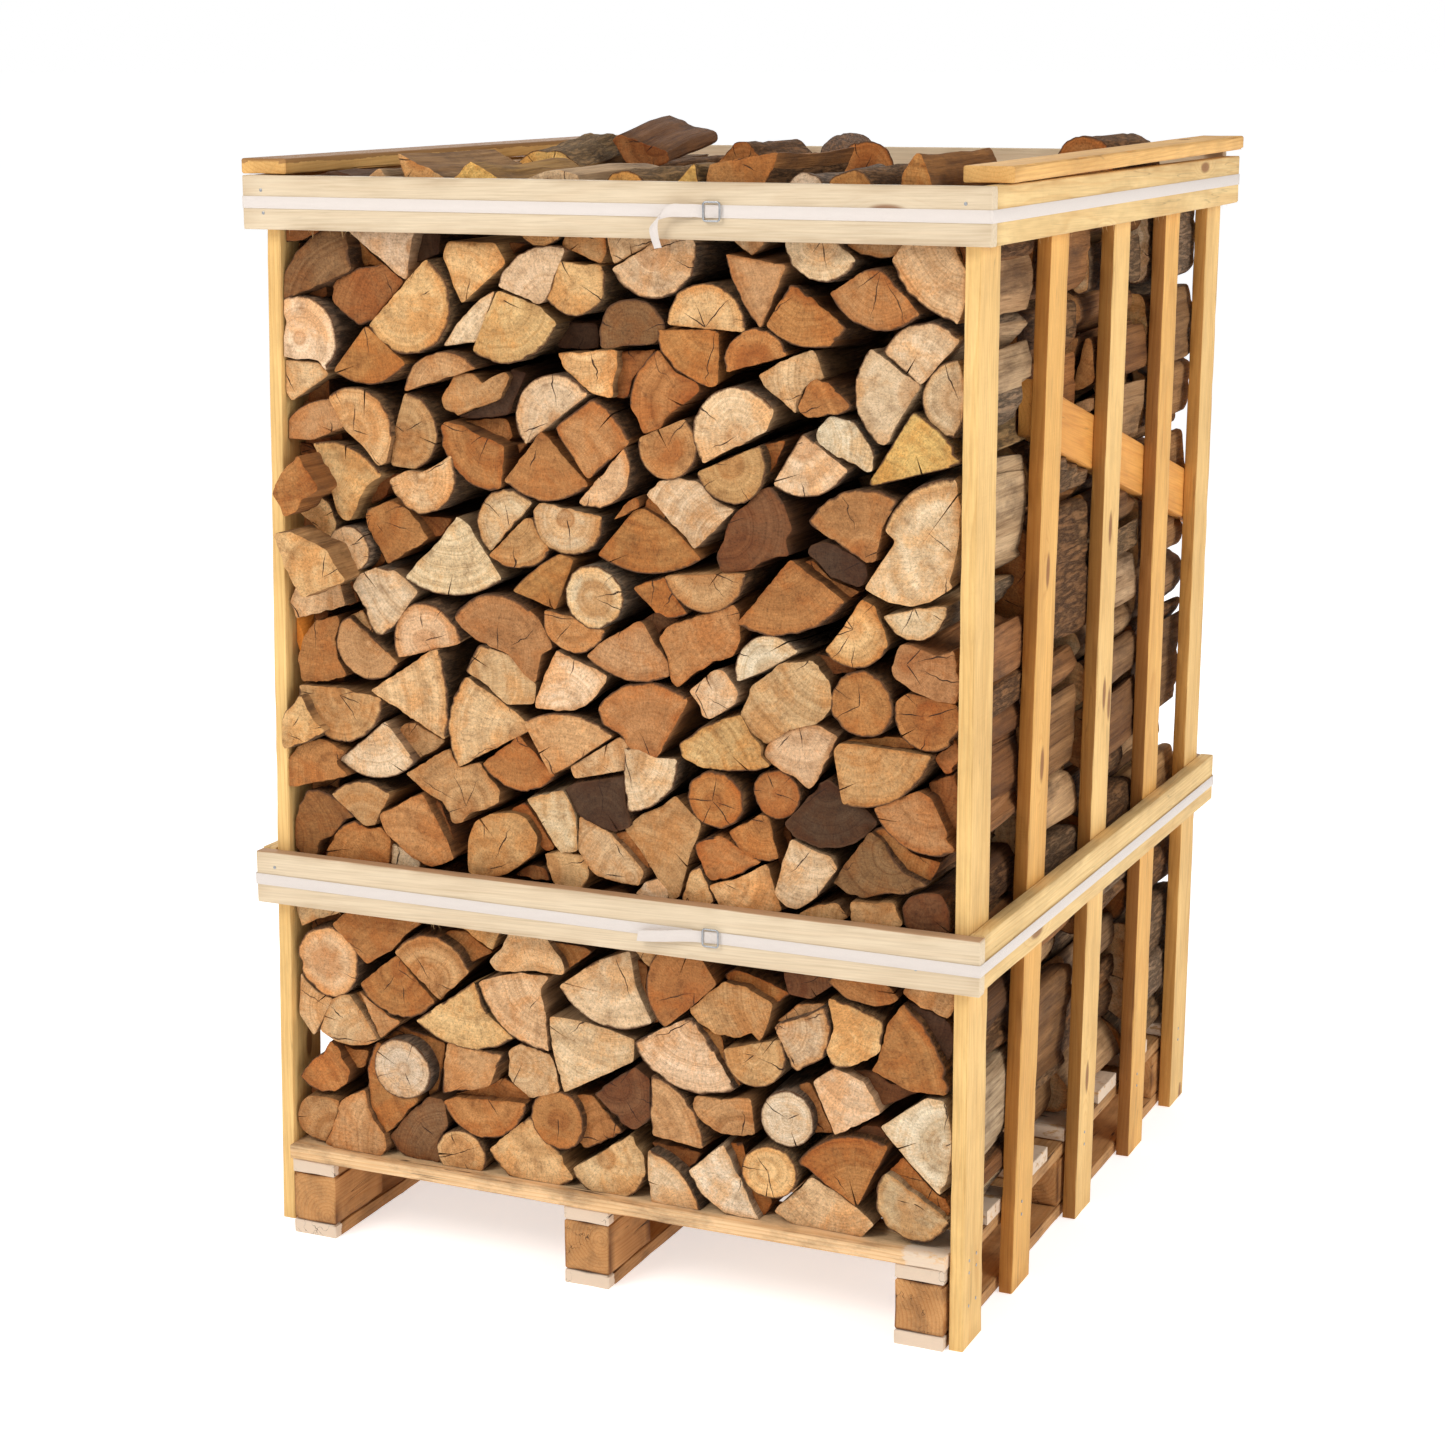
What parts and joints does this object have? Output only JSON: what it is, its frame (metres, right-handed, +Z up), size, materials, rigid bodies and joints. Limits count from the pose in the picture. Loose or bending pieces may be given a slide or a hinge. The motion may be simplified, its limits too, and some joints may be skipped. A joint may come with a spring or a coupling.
{
  "type": "crate of firewood",
  "caption": "Tall slatted softwood crate of stacked split logs on a small wooden pallet, held together by white straps with wire buckles.",
  "frame": {"origin": "middle of the crate's outer box, on the floor", "axes": "+Z up, -Y to the open front with the log ends and the buckles, +X to the right seen from the front"},
  "size_m": [1.159, 1.2743, 1.6839],
  "materials": {
    "softwood": "sawn spruce laths, yellow, open grain",
    "planed_board": "pale cream planed spruce boards",
    "pallet_wood": "rough sawn pallet timber, scuffed",
    "split_wood": "split and sawn hardwood logs with rings, cracks and saw marks",
    "bark": "weathered grey-brown bark and old split faces",
    "strap_plastic": "white woven strapping, slight sheen",
    "wire": "galvanised wire"
  },
  "bodies": {
    "root": {"brace_left": "softwood", "brace_right": "softwood", "buckle_mid": "wire", "buckle_top": "wire", "log_proud_1": "split_wood", "log_proud_2": "split_wood", "log_row_1": "split_wood", "log_row_2": "split_wood", "log_row_3": "split_wood", "log_row_4": "split_wood", "log_top_back": "bark", "log_top_left": "bark", "log_top_middle": "bark", "log_top_right": "bark", "log_top_tilted": "split_wood", "pallet_bearer_left": "pallet_wood", "pallet_bearer_middle": "pallet_wood", "pallet_bearer_right": "pallet_wood", "pallet_block_left_centre": "pallet_wood", "pallet_block_left_front": "pallet_wood", "pallet_block_left_rear": "pallet_wood", "pallet_block_middle_centre": "pallet_wood", "pallet_block_middle_front": "pallet_wood", "pallet_block_middle_rear": "pallet_wood", "pallet_block_right_centre": "pallet_wood", "pallet_block_right_front": "pallet_wood", "pallet_block_right_rear": "pallet_wood", "pallet_deck_board_1": "pallet_wood", "pallet_deck_board_2": "pallet_wood", "pallet_deck_board_3": "pallet_wood", "pallet_deck_board_4": "pallet_wood", "pallet_deck_board_5": "pallet_wood", "pallet_deck_board_6": "pallet_wood", "pallet_deck_board_7": "pallet_wood", "pallet_runner_left": "pallet_wood", "pallet_runner_middle": "pallet_wood", "pallet_runner_right": "pallet_wood", "rail_back_mid": "planed_board", "rail_back_top": "planed_board", "rail_front_mid": "planed_board", "rail_front_top": "planed_board", "rail_left_mid": "softwood", "rail_left_top": "softwood", "rail_right_mid": "softwood", "rail_right_top": "softwood", "slat_left_1": "softwood", "slat_left_2": "softwood", "slat_left_3": "softwood", "slat_left_4": "softwood", "slat_left_5": "softwood", "slat_right_1": "softwood", "slat_right_2": "softwood", "slat_right_3": "softwood", "slat_right_4": "softwood", "slat_right_5": "softwood", "strap_mid": "strap_plastic", "strap_top": "strap_plastic", "top_board_left": "softwood", "top_board_right": "softwood"}
  },
  "joints": []
}
